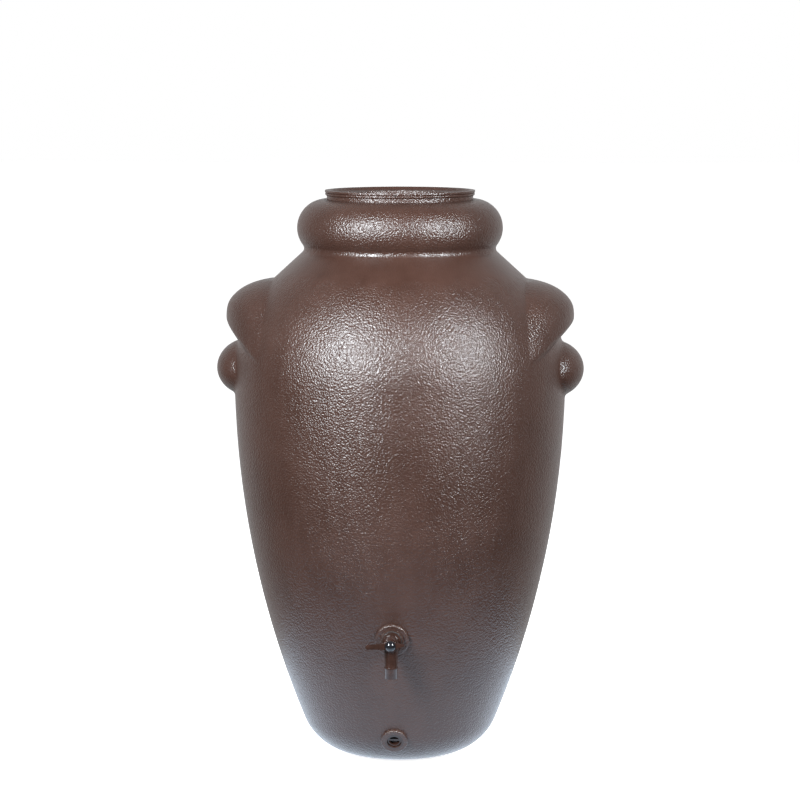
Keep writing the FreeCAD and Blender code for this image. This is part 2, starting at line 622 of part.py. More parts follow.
def screen_mesh():
    disc = ring(SCREEN_OUT_R, SCREEN_IN_R, SCREEN_THICK, V(0, 0, SCREEN_Z - SCREEN_THICK), Z_AXIS)
    slot_in = SCREEN_IN_R + RETAINER_RING
    slot_out = SCREEN_OUT_R - RETAINER_RING
    slot = Part.makeBox(slot_out - slot_in, SCREEN_SLOT_WIDTH, 3 * SCREEN_THICK)
    slot.translate(V(slot_in, -SCREEN_SLOT_WIDTH / 2.0, SCREEN_Z - 2 * SCREEN_THICK))
    step = 360.0 / SCREEN_SLOTS
    clear_angle = math.degrees((SCREW_HEAD_R + SCREEN_SLOT_WIDTH) / SCREW_CIRCLE_R)
    cuts = []
    for i in range(SCREEN_SLOTS):
        angle = step * i
        nearest = min(abs((angle - screw + 180.0) % 360.0 - 180.0) for screw in screw_angles())
        if nearest > clear_angle:
            cuts.append(about_z(slot, angle))
    return disc.cut(cuts + screw_holes(SCREEN_Z - 2 * SCREEN_THICK, 3 * SCREEN_THICK))


def screw_holes(z, height):
    hole = cylinder(SCREW_HOLE_R, height, V(SCREW_CIRCLE_R, 0, z), Z_AXIS)
    return [about_z(hole, angle) for angle in screw_angles()]


def screen_retainer():
    top = SCREEN_Z - SCREEN_THICK
    base = V(0, 0, top - RETAINER_THICK)
    outer = ring(SCREEN_OUT_R, SCREEN_OUT_R - RETAINER_RING, RETAINER_THICK, base, Z_AXIS)
    inner = ring(SCREEN_IN_R + RETAINER_RING, SCREEN_IN_R, RETAINER_THICK, base, Z_AXIS)
    bridge_length = SCREEN_OUT_R - SCREEN_IN_R - RETAINER_RING
    bridge = Part.makeBox(bridge_length, 2 * POST_R, RETAINER_THICK)
    bridge.translate(V(SCREEN_IN_R + RETAINER_RING / 2.0, -POST_R, base.z))
    bridges = [about_z(bridge, angle) for angle in screw_angles()]
    frame = fuse_all([outer, inner] + bridges)
    return frame.cut(screw_holes(base.z - OVERLAP, RETAINER_THICK + 2 * OVERLAP))


def screen_screws():
    seat_z = SCREEN_Z - SCREEN_THICK - RETAINER_THICK
    shank_top = seat_z + SCREW_LENGTH + RETAINER_THICK - OVERLAP
    head = cylinder(SCREW_HEAD_R, SCREW_HEAD_HEIGHT, V(SCREW_CIRCLE_R, 0, seat_z - SCREW_HEAD_HEIGHT), Z_AXIS)
    head = fillet_where(head, SCREW_HEAD_HEIGHT / 2.0, lambda edge: edge.BoundBox.ZMax < seat_z - OVERLAP)
    shank = cylinder(POST_PILOT_R, shank_top - seat_z, V(SCREW_CIRCLE_R, 0, seat_z), Z_AXIS)
    screw = fuse_all([head, shank])
    return Part.makeCompound([about_z(screw, angle) for angle in screw_angles()])


# ---------------------------------------------------------------- tap
def tap_insert():
    form = insert_shape(tap_point(TAP_PAD_Y), FRONT)
    back = tap_point(TAP_PAD_Y - INSERT_LENGTH - OVERLAP)
    bore = cylinder(PIPE_THREAD_R, INSERT_LENGTH + 2 * OVERLAP, back, FRONT)
    return form.cut(bore)


def tap_gasket():
    return ring(PIPE_THREAD_R + GASKET_WIDTH, PIPE_THREAD_R, GASKET_THICK, tap_point(TAP_PAD_Y), FRONT)


def tap_body():
    flange_r = PIPE_THREAD_R + TAP_FLANGE_WIDTH
    flange = cylinder(flange_r, TAP_FLANGE_THICK, tap_point(TAP_FLANGE_Y), FRONT)
    shank = cylinder(PIPE_THREAD_R, SHANK_LENGTH + GASKET_THICK, tap_point(TAP_PAD_Y - SHANK_LENGTH), FRONT)
    valve = cylinder(VALVE_R, VALVE_LENGTH, tap_point(VALVE_Y), FRONT)
    end_z = TAP_Z - SPOUT_DROP
    collar_z = TAP_Z - SPOUT_COLLAR_DROP
    foot = tap_point(SPOUT_Y, collar_z)
    spout = Part.makeCone(SPOUT_LOW_R, SPOUT_TOP_R, TAP_Z - collar_z, foot, Z_AXIS)
    collar = cylinder(SPOUT_COLLAR_R, SPOUT_COLLAR_HEIGHT, foot, Z_AXIS)
    nozzle = cylinder(NOZZLE_R, collar_z - end_z, tap_point(SPOUT_Y, end_z), Z_AXIS)
    body = fuse_all([flange, shank, valve, spout, collar, nozzle])
    inlet = cylinder(PIPE_THREAD_R - SHANK_WALL, VALVE_Y, tap_point(0), FRONT)
    chamber = cylinder(CHAMBER_R, VALVE_LENGTH + OVERLAP, tap_point(VALVE_Y), FRONT)
    outlet = cylinder(SPOUT_BORE_R, SPOUT_DROP, tap_point(SPOUT_Y, end_z), Z_AXIS)
    mouth = tap_point(SPOUT_Y, end_z - OVERLAP)
    nozzle_bore = cylinder(NOZZLE_BORE_R, NOZZLE_BORE_DEPTH + OVERLAP, mouth, Z_AXIS)
    return body.cut([inlet, chamber, outlet, nozzle_bore])


def oring_centre_r():
    return CHAMBER_R - ROTOR_CLEARANCE - ORING_TUBE_R


def oring_places():
    edge = ORING_TUBE_R + OVERLAP
    return [ROTOR_BACK_Y + edge, ROTOR_FRONT_Y - edge]


def tap_rotor():
    radius = CHAMBER_R - ROTOR_CLEARANCE
    cup = cylinder(radius, ROTOR_LENGTH, tap_point(ROTOR_BACK_Y), FRONT)
    hollow_r = radius - ROTOR_WALL
    hollow = cylinder(hollow_r, ROTOR_LENGTH - ROTOR_WALL, tap_point(ROTOR_BACK_Y), FRONT)
    port = cylinder(ROTOR_PORT_R, radius + OVERLAP, tap_point(SPOUT_Y), V(-1, 0, 0))
    stem = cylinder(STEM_R, CAP_Y - ROTOR_FRONT_Y - LEVER_RECESS_DEPTH, tap_point(ROTOR_FRONT_Y), FRONT)
    grooves = []
    for y in oring_places():
        start = tap_point(y - ORING_TUBE_R)
        grooves.append(ring(radius + OVERLAP, radius - 2 * ORING_TUBE_R, 2 * ORING_TUBE_R, start, FRONT))
    thread_start = CAP_Y - LEVER_RECESS_DEPTH - LEVER_SCREW_LENGTH
    thread = cylinder(LEVER_SCREW_R, LEVER_SCREW_LENGTH + OVERLAP, tap_point(thread_start), FRONT)
    return fuse_all([cup.cut([hollow, port] + grooves), stem]).cut(thread)


def tap_rotor_orings():
    rings = [Part.makeTorus(oring_centre_r(), ORING_TUBE_R, tap_point(y), FRONT) for y in oring_places()]
    return Part.makeCompound(rings)


def tap_bonnet():
    plate = cylinder(VALVE_R, BONNET_THICK, tap_point(BONNET_Y), FRONT)
    spigot = cylinder(CHAMBER_R, BONNET_SPIGOT, tap_point(BONNET_Y - BONNET_SPIGOT), FRONT)
    hole_length = BONNET_THICK + BONNET_SPIGOT + 2 * OVERLAP
    hole_start = tap_point(BONNET_Y - BONNET_SPIGOT - OVERLAP)
    hole = cylinder(STEM_R + STEM_CLEARANCE, hole_length, hole_start, FRONT)
    return fuse_all([plate, spigot]).cut(hole)


def tap_lever():
    hub = cylinder(LEVER_HUB_R, LEVER_THICK, tap_point(LEVER_Y), FRONT)

    def arm(length, tip_half, direction):
        corners = [V(0, 0, LEVER_ROOT_HALF), V(direction * length, 0, tip_half),
                   V(direction * length, 0, -tip_half), V(0, 0, -LEVER_ROOT_HALF)]
        face = Part.Face(Part.makePolygon(corners + [corners[0]]))
        solid = face.extrude(FRONT * LEVER_THICK)
        solid.translate(tap_point(LEVER_Y))
        return solid

    tip = cylinder(LEVER_TIP_R, LEVER_THICK, tap_point(LEVER_Y) - X_AXIS * LEVER_LONG_ARM, FRONT)
    long_arm = arm(LEVER_LONG_ARM, LEVER_TIP_R - 0.8, -1)
    short_arm = arm(LEVER_SHORT_ARM, LEVER_TIP_R / 3.0, 1)
    blank = fuse_all([hub, tip, long_arm, short_arm])
    socket = cylinder(STEM_R, LEVER_THICK, tap_point(LEVER_Y - OVERLAP), FRONT)
    recess_floor = tap_point(CAP_Y - LEVER_RECESS_DEPTH)
    recess = cylinder(LEVER_RECESS_R, LEVER_RECESS_DEPTH + OVERLAP, recess_floor, FRONT)
    lever = blank.cut([socket, recess])
    lever.rotate(tap_point(0), FRONT, LEVER_TILT)
    return lever


def lever_screw():
    seat = CAP_Y - LEVER_RECESS_DEPTH
    head = cylinder(LEVER_SCREW_HEAD_R, LEVER_SCREW_HEAD_HEIGHT, tap_point(seat), FRONT)
    shank = cylinder(LEVER_SCREW_R, LEVER_SCREW_LENGTH, tap_point(seat - LEVER_SCREW_LENGTH), FRONT)
    return fuse_all([head, shank])


def lever_cap():
    """Dome that closes the lever's screw recess."""
    sphere_r = (CAP_R ** 2 + CAP_HEIGHT ** 2) / (2.0 * CAP_HEIGHT)
    ball = Part.makeSphere(sphere_r, tap_point(CAP_Y + CAP_HEIGHT - sphere_r))
    return ball.common(cylinder(CAP_R + OVERLAP, sphere_r, tap_point(CAP_Y), FRONT))


# ---------------------------------------------------------------- drain
def drain_insert():
    bore = cylinder(PIPE_THREAD_R, BOSS_DEPTH, DRAIN_FACE - DRAIN_OUT * (BOSS_DEPTH - OVERLAP), DRAIN_OUT)
    return insert_shape(DRAIN_FACE, DRAIN_OUT).cut(bore)


def drain_plug():
    face = DRAIN_FACE - DRAIN_OUT * PLUG_RECESS
    radius = PIPE_THREAD_R - PLUG_CLEARANCE
    plug = cylinder(radius, PLUG_LENGTH, face - DRAIN_OUT * PLUG_LENGTH, DRAIN_OUT)
    socket_r = radius - PLUG_WALL
    seat = face - DRAIN_OUT * PLUG_SOCKET_DEPTH
    socket = cylinder(socket_r, PLUG_SOCKET_DEPTH + OVERLAP, seat, DRAIN_OUT)
    bar = Part.makeBox(2 * socket_r + OVERLAP, PLUG_BAR_WIDTH, PLUG_BAR_HEIGHT)
    bar.translate(V(-socket_r - OVERLAP / 2.0, -PLUG_BAR_WIDTH / 2.0, 0))
    turn = FreeCAD.Rotation(X_AXIS, DRAIN_OUT.cross(X_AXIS), DRAIN_OUT, "ZXY")
    bar.Placement = FreeCAD.Placement(seat, turn).multiply(bar.Placement)
    groove_centre = face - DRAIN_OUT * PLUG_SEAL_FROM_FACE
    half = PLUG_SEAL_TUBE_R + PLUG_SEAL_CLEARANCE
    groove_floor = seal_centre_r() - half
    groove = ring(radius + OVERLAP, groove_floor, 2 * half, groove_centre - DRAIN_OUT * half, DRAIN_OUT)
    return fuse_all([plug.cut([socket, groove]), bar])


def seal_centre_r():
    return PIPE_THREAD_R - PLUG_SEAL_CLEARANCE - PLUG_SEAL_TUBE_R


def drain_plug_seal():
    centre = DRAIN_FACE - DRAIN_OUT * (PLUG_RECESS + PLUG_SEAL_FROM_FACE)
    return Part.makeTorus(seal_centre_r(), PLUG_SEAL_TUBE_R, centre, DRAIN_OUT)


# ---------------------------------------------------------------- overflow
def overflow_spigot():
    gasket_face = OVERFLOW_PAD_Y + GASKET_THICK
    axis_point = V(0, gasket_face, OVERFLOW_Z)
    flange = cylinder(OVERFLOW_FLANGE_R, OVERFLOW_FLANGE_THICK, axis_point, BACK)
    reach_in = GASKET_THICK + OVERFLOW_FACE_THICK + OVERFLOW_TAIL
    thread = cylinder(OVERFLOW_THREAD_R, reach_in, axis_point - BACK * reach_in, BACK)
    barb_start = axis_point + BACK * OVERFLOW_FLANGE_THICK
    barb_r = OVERFLOW_BORE_R + BARB_WALL
    barb = cylinder(barb_r, BARB_LENGTH, barb_start, BACK)
    step = BARB_LENGTH / BARB_RIDGES
    ridges = []
    for i in range(BARB_RIDGES):
        start = barb_start + BACK * (step * i)
        ridges.append(Part.makeCone(barb_r + BARB_RIDGE, barb_r, step, start, BACK))
    bore_length = reach_in + OVERFLOW_FLANGE_THICK + BARB_LENGTH + 2 * OVERLAP
    bore = cylinder(OVERFLOW_BORE_R, bore_length, axis_point - BACK * (reach_in + OVERLAP), BACK)
    return fuse_all([flange, thread, barb] + ridges).cut(bore)


def overflow_gasket():
    return ring(OVERFLOW_FLANGE_R, OVERFLOW_THREAD_R, GASKET_THICK, V(0, OVERFLOW_PAD_Y, OVERFLOW_Z), BACK)


def overflow_nut():
    start = V(0, OVERFLOW_INSIDE_Y - OVERFLOW_NUT_THICK, OVERFLOW_Z)
    corners = [polar(start, OVERFLOW_NUT_CORNER_R, 60.0 * i) for i in range(6)]
    face = Part.Face(Part.makePolygon(corners + [corners[0]]))
    nut = face.extrude(BACK * OVERFLOW_NUT_THICK)
    thread = cylinder(OVERFLOW_THREAD_R, OVERFLOW_NUT_THICK + 2 * OVERLAP, start - BACK * OVERLAP, BACK)
    return nut.cut(thread)


PIECES = (
    shell_foot, shell_wall, shell_shoulder, shell_neck,
    planter_bowl, screen_mesh, screen_retainer, screen_screws,
    tap_insert, tap_gasket, tap_body, tap_bonnet, tap_rotor, tap_rotor_orings,
    tap_lever, lever_screw, lever_cap,
    drain_insert, drain_plug, drain_plug_seal,
    overflow_spigot, overflow_gasket, overflow_nut,
)

os.makedirs("parts", exist_ok=True)
for piece in PIECES:
    save(piece.__name__, piece())
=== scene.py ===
import math

import bpy
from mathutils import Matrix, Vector


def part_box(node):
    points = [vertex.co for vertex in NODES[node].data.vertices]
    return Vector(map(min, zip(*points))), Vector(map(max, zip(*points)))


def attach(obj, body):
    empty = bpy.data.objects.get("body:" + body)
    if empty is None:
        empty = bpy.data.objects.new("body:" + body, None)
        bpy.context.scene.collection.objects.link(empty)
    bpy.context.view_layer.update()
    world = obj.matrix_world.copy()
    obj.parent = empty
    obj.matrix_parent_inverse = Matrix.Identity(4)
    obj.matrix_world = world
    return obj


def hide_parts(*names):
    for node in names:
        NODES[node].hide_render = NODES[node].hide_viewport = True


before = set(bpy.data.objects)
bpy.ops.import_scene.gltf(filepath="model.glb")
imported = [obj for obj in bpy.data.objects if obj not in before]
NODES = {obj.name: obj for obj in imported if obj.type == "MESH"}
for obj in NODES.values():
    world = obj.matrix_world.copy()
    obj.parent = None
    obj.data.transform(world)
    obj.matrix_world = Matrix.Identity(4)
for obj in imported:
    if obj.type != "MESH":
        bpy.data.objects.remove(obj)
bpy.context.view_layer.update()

# Rain barrel: an urn-shaped, rotationally moulded barrel with a planter in its neck, a
# quarter-turn tap, a low drain plug and a rear overflow. Metres, +Z up, tap towards -Y.

SHELL_BANDS = ("shell_foot", "shell_wall", "shell_shoulder", "shell_neck")


# ---------------------------------------------------------------- working on a piece
def pick(*pieces):
    """Only these pieces are selected, and the first is active."""
    bpy.ops.object.select_all(action="DESELECT")
    for piece in pieces:
        piece.select_set(True)
    bpy.context.view_layer.objects.active = pieces[0]


def copy_of_cad(name, *nodes):
    """A merged mesh of its own made from CAD nodes, ready to be reshaped."""
    copies = []
    for node in nodes:
        copy = NODES[node].copy()
        copy.data = copy.data.copy()
        copy.parent = None
        for key in list(copy.keys()):
            del copy[key]
        bpy.context.scene.collection.objects.link(copy)
        copies.append(copy)
    pick(*copies)
    if len(copies) > 1:
        bpy.ops.object.join()
    piece = bpy.context.object
    piece.name = name
    piece.data.name = name
    bpy.ops.object.mode_set(mode="EDIT")
    bpy.ops.mesh.select_all(action="SELECT")
    bpy.ops.mesh.customdata_custom_splitnormals_clear()
    bpy.ops.mesh.remove_doubles(threshold=0.00001)
    bpy.ops.object.mode_set(mode="OBJECT")
    return piece


def select_faces(piece, chosen):
    """Edit mode with only the faces for which chosen(face) is true selected."""
    pick(piece)
    bpy.ops.object.mode_set(mode="EDIT")
    bpy.ops.mesh.select_mode(type="FACE")
    bpy.ops.mesh.select_all(action="DESELECT")
    bpy.ops.object.mode_set(mode="OBJECT")
    for face in piece.data.polygons:
        face.select = chosen(face)
    bpy.ops.object.mode_set(mode="EDIT")


def leave_edit():
    bpy.ops.object.mode_set(mode="OBJECT")


def apply_modifier(piece, kind, name, **settings):
    pick(piece)
    modifier = piece.modifiers.new(name, kind)
    for key, value in settings.items():
        setattr(modifier, key, value)
    bpy.ops.object.modifier_apply(modifier=modifier.name)


def soften_edges(piece, width, angle=35.0, segments=2):
    """Flat areas become whole faces, then every sharp edge gets a small radius."""
    pick(piece)
    bpy.ops.object.mode_set(mode="EDIT")
    bpy.ops.mesh.select_all(action="SELECT")
    bpy.ops.mesh.dissolve_limited(angle_limit=math.radians(0.4))
    leave_edit()
    apply_modifier(piece, "BEVEL", "soft edges", width=width, segments=segments,
                   limit_method="ANGLE", angle_limit=math.radians(angle), use_clamp_overlap=True)
    pick(piece)
    bpy.ops.object.shade_smooth_by_angle(angle=math.radians(40.0))


def finish_piece(piece, body, slot, material, *nodes):
    """Gives a piece its material and its body, and hides the CAD nodes it stands for; the slot
    argument is not used.
    """
    piece.data.materials.clear()
    piece.data.materials.append(material)
    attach(piece, body)
    if nodes:
        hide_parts(*nodes)


def carry_over(material, *nodes):
    """A CAD node that keeps its own shape gets a procedural finish."""
    for node in nodes:
        NODES[node].data.materials.clear()
        NODES[node].data.materials.append(material)


# ---------------------------------------------------------------- material helpers
def new_material(name, colour, roughness, **shader_values):
    material = bpy.data.materials.new(name)
    material.use_nodes = True
    tree = material.node_tree
    shader = tree.nodes["Principled BSDF"]
    shader.inputs["Base Color"].default_value = (*colour, 1.0)
    shader.inputs["Roughness"].default_value = roughness
    for key, value in shader_values.items():
        shader.inputs[key.replace("_", " ")].default_value = value
    place = tree.nodes.new("ShaderNodeTexCoord").outputs["Object"]
    return material, tree, shader, place


def stretched(tree, place, scale):
    mapping = tree.nodes.new("ShaderNodeMapping")
    mapping.inputs["Scale"].default_value = scale
    tree.links.new(place, mapping.inputs["Vector"])
    return mapping.outputs["Vector"]


def noise(tree, place, scale, detail=3.0, roughness=0.5, distortion=0.0):
    node = tree.nodes.new("ShaderNodeTexNoise")
    node.inputs["Scale"].default_value = scale
    node.inputs["Detail"].default_value = detail
    node.inputs["Roughness"].default_value = roughness
    node.inputs["Distortion"].default_value = distortion
    tree.links.new(place, node.inputs["Vector"])
    return node


def pebbles(tree, place, size):
    """Rounded cells of about this size, high in their middles."""
    node = tree.nodes.new("ShaderNodeTexVoronoi")
    node.feature = "SMOOTH_F1"
    node.inputs["Scale"].default_value = 1.0 / size
    node.inputs["Smoothness"].default_value = 0.35
    tree.links.new(place, node.inputs["Vector"])
    return node.outputs["Distance"]


def math_node(tree, operation, first, second):
    node = tree.nodes.new("ShaderNodeMath")
    node.operation = operation
    for socket, value in zip(node.inputs, (first, second)):
        if isinstance(value, (int, float)):
            socket.default_value = value
        else:
            tree.links.new(value, socket)
    return node.outputs[0]


def spread(tree, value, from_low, from_high, to_low, to_high):
    """value moved from one range to another, and held inside it."""
    node = tree.nodes.new("ShaderNodeMapRange")
    node.inputs["From Min"].default_value = from_low
    node.inputs["From Max"].default_value = from_high
    node.inputs["To Min"].default_value = to_low
    node.inputs["To Max"].default_value = to_high
    tree.links.new(value, node.inputs["Value"])
    return node.outputs["Result"]


def tint(tree, factor, dark, light):
    node = tree.nodes.new("ShaderNodeMix")
    node.data_type = "RGBA"
    node.inputs["A"].default_value = (*dark, 1.0)
    node.inputs["B"].default_value = (*light, 1.0)
    tree.links.new(factor, node.inputs["Factor"])
    return node.outputs["Result"]


def raise_surface(tree, shader, height, distance, strength=1.0, under=None):
    """Bump from a height, on top of the bump before it."""
    node = tree.nodes.new("ShaderNodeBump")
    node.inputs["Distance"].default_value = distance
    node.inputs["Strength"].default_value = strength
    tree.links.new(height, node.inputs["Height"])
    if under:
        tree.links.new(under, node.inputs["Normal"])
    tree.links.new(node.outputs["Normal"], shader.inputs["Normal"])
    return node.outputs["Normal"]


# ---------------------------------------------------------------- finishes
GRAIN_SIZE = 0.0036       # one pebble of the leather grain
SMOOTH_BAND = (0.893, 0.938)   # heights between which the grain fades
BAND_BLEND = 0.006        # height over which the grain fades out at the band's foot
BROWN_DARK = (0.026, 0.0115, 0.0080)
BROWN_LIGHT = (0.034, 0.0155, 0.0110)


def leather_grained_plastic():
    material, tree, shader, place = new_material("grained brown plastic", BROWN_DARK, 0.36)
    axes = tree.nodes.new("ShaderNodeSeparateXYZ")
    tree.links.new(place, axes.inputs["Vector"])
    blotches = noise(tree, place, 9.0, 4.0, 0.55)
    ragged = noise(tree, place, 38.0, 4.0, 0.6)
    drift = math_node(tree, "SUBTRACT", ragged.outputs["Fac"], 0.5)
    drift = math_node(tree, "MULTIPLY", drift, 0.05)
    height = math_node(tree, "ADD", axes.outputs["Z"], drift)
    above = spread(tree, height, SMOOTH_BAND[0] - BAND_BLEND, SMOOTH_BAND[0] + BAND_BLEND, 1.0, 0.0)
    below = spread(tree, height, SMOOTH_BAND[1], SMOOTH_BAND[1] + 0.008, 0.0, 1.0)
    grained = math_node(tree, "MAXIMUM", above, below)
    # cells shift with a fine noise, so that they are not too even
    wander = noise(tree, place, 160.0, 2.0)
    offset = tree.nodes.new("ShaderNodeVectorMath")
    offset.operation = "MULTIPLY_ADD"
    offset.inputs[1].default_value = (0.0012, 0.0012, 0.0012)
    tree.links.new(wander.outputs["Color"], offset.inputs[0])
    tree.links.new(place, offset.inputs[2])
    coarse = pebbles(tree, offset.outputs["Vector"], GRAIN_SIZE)
    fine = pebbles(tree, offset.outputs["Vector"], GRAIN_SIZE * 0.45)
    grain = math_node(tree, "ADD", coarse, math_node(tree, "MULTIPLY", fine, 0.35))
    grain = math_node(tree, "MULTIPLY", grain, spread(tree, grained, 0.0, 1.0, 0.25, 1.0))
    streaks = noise(tree, stretched(tree, place, (55.0, 55.0, 1.6)), 1.0, 3.0, 0.5)
    waves = noise(tree, place, 14.0, 2.0, 0.4)
    swell = raise_surface(tree, shader, waves.outputs["Fac"], 0.0012, 0.4)
    raise_surface(tree, shader, math_node(tree, "SUBTRACT", 1.0, grain), 0.0011, 0.9, swell)
    mottled = math_node(tree, "ADD", math_node(tree, "MULTIPLY", blotches.outputs["Fac"], 0.7),
                        math_node(tree, "MULTIPLY", streaks.outputs["Fac"], 0.3))
    shade = spread(tree, mottled, 0.36, 0.64, 0.0, 1.0)
    tree.links.new(tint(tree, shade, BROWN_DARK, BROWN_LIGHT), shader.inputs["Base Color"])
    tree.links.new(spread(tree, mottled, 0.35, 0.65, 0.30, 0.36), shader.inputs["Roughness"])
    return material


def plain_plastic(name, dark, light, roughness, texture_scale=220.0, depth=0.0002):
    material, tree, shader, place = new_material(name, dark, roughness)
    cloud = noise(tree, place, 45.0, 3.0)
    speckle = noise(tree, place, texture_scale, 3.0)
    tree.links.new(tint(tree, spread(tree, cloud.outputs["Fac"], 0.35, 0.65, 0.0, 1.0), dark, light),
                   shader.inputs["Base Color"])
    tree.links.new(spread(tree, speckle.outputs["Fac"], 0.3, 0.7, roughness - 0.04, roughness + 0.05),
                   shader.inputs["Roughness"])
    raise_surface(tree, shader, speckle.outputs["Fac"], depth, 0.6)
    return material


def brushed_metal(name, dark, light, roughness, along):
    material, tree, shader, place = new_material(name, dark, roughness, Metallic=1.0)
    lines = noise(tree, stretched(tree, place, along), 1.0, 4.0, 0.6)
    tree.links.new(tint(tree, spread(tree, lines.outputs["Fac"], 0.3, 0.7, 0.0, 1.0), dark, light),
                   shader.inputs["Base Color"])
    tree.links.new(spread(tree, lines.outputs["Fac"], 0.3, 0.7, roughness - 0.06, roughness + 0.08),
                   shader.inputs["Roughness"])
    raise_surface(tree, shader, lines.outputs["Fac"], 0.0001, 0.4)
    return material


grained_plastic = leather_grained_plastic()
tap_plastic = plain_plastic("tap plastic", (0.017, 0.0078, 0.0056), (0.026, 0.0120, 0.0088), 0.20)
cap_gloss = plain_plastic("polished cap", (0.006, 0.006, 0.007), (0.010, 0.010, 0.011), 0.09,
                          texture_scale=300.0, depth=0.00002)
black_plastic = plain_plastic("black plastic", (0.018, 0.018, 0.018), (0.028, 0.028, 0.028), 0.4)
sealing_rubber = plain_plastic("sealing rubber", (0.012, 0.012, 0.012), (0.020, 0.020, 0.020), 0.62)
perforated_steel = brushed_metal("perforated steel", (0.42, 0.42, 0.43), (0.58, 0.58, 0.59),
                                 0.32, (900.0, 60.0, 60.0))
stainless_steel = brushed_metal("stainless steel", (0.50, 0.50, 0.51), (0.66, 0.66, 0.67),
                                0.26, (60.0, 60.0, 700.0))
turned_brass = brushed_metal("turned brass", (0.52, 0.36, 0.12), (0.72, 0.54, 0.22),
                             0.30, (60.0, 900.0, 60.0))


# ---------------------------------------------------------------- barrel
STITCH = 0.0002    # vertices of neighbouring bands closer than this are joined
LIP_RADIUS = 0.138
NICK_RADIUS = 0.0035
NICK_LENGTH = 0.012


def build_barrel_body():
    """The one-piece moulding: the CAD's bands stitched together."""
    piece = copy_of_cad("barrel_body", *SHELL_BANDS)
    joints = [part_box(band)[1].z for band in SHELL_BANDS[:-1]]
    select_faces(piece, lambda face: abs(face.normal.z) > 0.999
                 and any(abs(face.center.z - z) < STITCH for z in joints))
    bpy.ops.mesh.delete(type="FACE")
    bpy.ops.mesh.select_all(action="SELECT")
    bpy.ops.mesh.remove_doubles(threshold=STITCH)
    leave_edit()
    return piece


def nick_lip(piece):
    """A small V where the mould closes, in the front of the barrel's lip."""
    lip_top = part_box("shell_neck")[1].z
    bpy.ops.object.select_all(action="DESELECT")
    bpy.ops.mesh.primitive_cylinder_add(vertices=3, radius=NICK_RADIUS, depth=NICK_LENGTH,
                                        location=(0.0, -LIP_RADIUS - 0.0015, lip_top - 0.0005))
    wedge = bpy.context.object
    wedge.rotation_euler = (math.radians(-90.0), 0.0, 0.0)
    bpy.ops.object.transform_apply(location=True, rotation=True, scale=True)
    apply_modifier(piece, "BOOLEAN", "nick", operation="DIFFERENCE", object=wedge, solver="EXACT")
    bpy.data.objects.remove(wedge)


barrel_body = build_barrel_body()
nick_lip(barrel_body)
pick(barrel_body)
bpy.ops.object.shade_smooth_by_angle(angle=math.radians(38.0))
finish_piece(barrel_body, "barrel", "shell_plastic", grained_plastic, *SHELL_BANDS)

# ---------------------------------------------------------------- planter and screen
planter = copy_of_cad("planter_pot", "planter_bowl")
soften_edges(planter, 0.0006)
finish_piece(planter, "planter", "shell_plastic", grained_plastic, "planter_bowl")
carry_over(perforated_steel, "screen_mesh")
carry_over(black_plastic, "screen_retainer")
carry_over(stainless_steel, "screen_screws")

# ---------------------------------------------------------------- tap
tap_spout = copy_of_cad("tap_spout", "tap_body")
soften_edges(tap_spout, 0.0007)
finish_piece(tap_spout, "barrel", "tap_plastic", tap_plastic, "tap_body")

tap_front = copy_of_cad("tap_front_ring", "tap_bonnet")
soften_edges(tap_front, 0.0006)
finish_piece(tap_front, "barrel", "tap_plastic", tap_plastic, "tap_bonnet")

lever = copy_of_cad("tap_handle_lever", "tap_lever")
soften_edges(lever, 0.0012, segments=3)
finish_piece(lever, "tap_handle", "tap_plastic", tap_plastic, "tap_lever")


def build_dome():
    """Polished dome over the lever's screw: a sphere cut flat at its foot, with its edge softened."""
    low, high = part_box("lever_cap")
    radius = (high.x - low.x) / 2
    rise = high.y - low.y
    sphere_r = (radius ** 2 + rise ** 2) / (2 * rise)
    centre = Vector(((low.x + high.x) / 2, low.y + sphere_r, (low.z + high.z) / 2))
    bpy.ops.object.select_all(action="DESELECT")
    bpy.ops.mesh.primitive_uv_sphere_add(segments=64, ring_count=48, radius=sphere_r, location=centre)
    dome = bpy.context.object
    dome.name = "tap_dome"
    bpy.ops.object.transform_apply(location=True, rotation=True, scale=True)
    bpy.ops.object.mode_set(mode="EDIT")
    bpy.ops.mesh.select_all(action="SELECT")
    bpy.ops.mesh.bisect(plane_co=(0.0, high.y, 0.0), plane_no=(0.0, 1.0, 0.0),
                        clear_outer=True, use_fill=True)
    bpy.ops.mesh.select_all(action="DESELECT")
    leave_edit()
    soften_edges(dome, 0.0005)
    return dome


dome = build_dome()
finish_piece(dome, "tap_handle", "gloss_cap", cap_gloss, "lever_cap")
carry_over(black_plastic, "tap_rotor")
carry_over(sealing_rubber, "tap_rotor_orings", "tap_gasket", "drain_plug_seal", "overflow_gasket")
carry_over(stainless_steel, "lever_screw")
carry_over(turned_brass, "tap_insert")

# ---------------------------------------------------------------- drain
drain_port = copy_of_cad("drain_port", "drain_insert")
soften_edges(drain_port, 0.0008)
finish_piece(drain_port, "barrel", "tap_plastic", tap_plastic, "drain_insert")
drain_stopper = copy_of_cad("drain_stopper", "drain_plug")
soften_edges(drain_stopper, 0.0005)
finish_piece(drain_stopper, "plug", "tap_plastic", tap_plastic, "drain_plug")

# ---------------------------------------------------------------- overflow
overflow_tail = copy_of_cad("overflow_tail", "overflow_spigot")
soften_edges(overflow_tail, 0.0005)
finish_piece(overflow_tail, "barrel", "black_plastic", black_plastic, "overflow_spigot")
overflow_locknut = copy_of_cad("overflow_locknut", "overflow_nut")
soften_edges(overflow_locknut, 0.0006)
finish_piece(overflow_locknut, "barrel", "black_plastic", black_plastic, "overflow_nut")


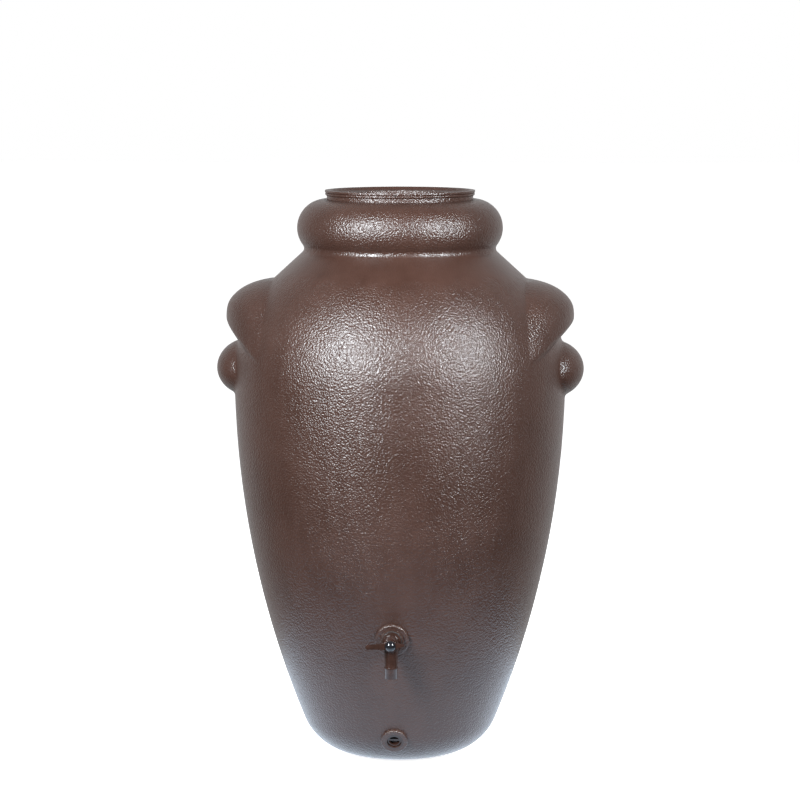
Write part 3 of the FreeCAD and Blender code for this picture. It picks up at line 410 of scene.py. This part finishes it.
# ---------------------------------------------------------------- floor, light and camera
def build_floor():
    bpy.ops.object.select_all(action="DESELECT")
    bpy.ops.mesh.primitive_plane_add(size=60.0, location=(0.0, 0.0, -0.0005))
    floor = bpy.context.object
    floor.name = "studio_floor"
    bpy.ops.object.transform_apply(location=True, rotation=True, scale=True)
    material, tree, shader, place = new_material("pale floor", (0.93, 0.93, 0.93), 0.6)
    shader.inputs["Emission Color"].default_value = (1.0, 1.0, 1.0, 1.0)
    shader.inputs["Emission Strength"].default_value = 0.85
    cloud = noise(tree, place, 3.0, 2.0)
    tree.links.new(tint(tree, cloud.outputs["Fac"], (0.92, 0.92, 0.92), (0.95, 0.95, 0.95)),
                   shader.inputs["Base Color"])
    floor.data.materials.append(material)
    floor.visible_glossy = False
    floor.visible_diffuse = False


CAMERA_TURN = math.radians(3.3)
CAMERA_DISTANCE = 4.756
CAMERA_HEIGHT = 1.274
CAMERA_DIP = math.radians(7.36)
ROOM_IN_FRONT = 0.02
BACKDROP = 0.75
LAMP_DISTANCE = 2.4
LAMP_HEIGHT = 1.70
LAMP_WIDTH = 0.45
LAMP_TALL = 1.45
LAMP_AIM_HEIGHT = 0.8
LAMP_COLOUR = (0.90, 0.96, 1.0)


def towards(turn, distance, height):
    """Place seen from the barrel's axis at this turn from the front."""
    return Vector((distance * math.sin(turn), -distance * math.cos(turn), height))


def add_softbox(name, turn_from_camera, power):
    data = bpy.data.lights.new(name, "AREA")
    data.shape = "RECTANGLE"
    data.size = LAMP_WIDTH
    data.size_y = LAMP_TALL
    data.energy = power
    data.color = LAMP_COLOUR
    lamp = bpy.data.objects.new(name, data)
    bpy.context.scene.collection.objects.link(lamp)
    lamp.location = towards(CAMERA_TURN + math.radians(turn_from_camera), LAMP_DISTANCE,
                            LAMP_HEIGHT)
    aim = Vector((0.0, 0.0, LAMP_AIM_HEIGHT)) - lamp.location
    lamp.rotation_euler = aim.to_track_quat("-Z", "Y").to_euler()
    lamp.visible_camera = False


def add_floor_bounce(across, power, colour):
    """Light from the white sheet that the barrel stands on."""
    data = bpy.data.lights.new("sheet bounce", "AREA")
    data.shape = "DISK"
    data.size = across
    data.energy = power
    data.color = colour
    lamp = bpy.data.objects.new("sheet bounce", data)
    bpy.context.scene.collection.objects.link(lamp)
    lamp.location = (0.0, 0.0, 0.001)
    lamp.rotation_euler = (math.pi, 0.0, 0.0)
    lamp.visible_camera = False


def light_studio():
    world = bpy.data.worlds.new("white studio")
    bpy.context.scene.world = world
    world.use_nodes = True
    tree = world.node_tree
    background = tree.nodes["Background"]
    background.inputs["Color"].default_value = (1.0, 1.0, 1.0, 1.0)
    # A white backdrop behind, and a darker room on the camera's side.
    axes = tree.nodes.new("ShaderNodeSeparateXYZ")
    tree.links.new(tree.nodes.new("ShaderNodeTexCoord").outputs["Generated"], axes.inputs["Vector"])
    surround = spread(tree, axes.outputs["Y"], 0.2, 0.8, ROOM_IN_FRONT, BACKDROP)
    seen = tree.nodes.new("ShaderNodeLightPath").outputs["Is Camera Ray"]
    tree.links.new(math_node(tree, "MAXIMUM", surround, seen), background.inputs["Strength"])
    add_softbox("left softbox", -36.0, 225.0)
    add_softbox("right softbox", 43.0, 170.0)
    add_floor_bounce(1.15, 6.5, (0.66, 0.82, 1.0))


def place_camera():
    data = bpy.data.cameras.new("camera")
    data.sensor_width = 36.0
    data.lens = 115.9
    camera = bpy.data.objects.new("camera", data)
    bpy.context.scene.collection.objects.link(camera)
    camera.location = towards(CAMERA_TURN, CAMERA_DISTANCE, CAMERA_HEIGHT)
    camera.rotation_euler = (math.radians(90.0) - CAMERA_DIP, 0.0, CAMERA_TURN)
    bpy.context.scene.camera = camera


build_floor()
light_studio()
place_camera()
bpy.context.scene.view_settings.view_transform = "Standard"
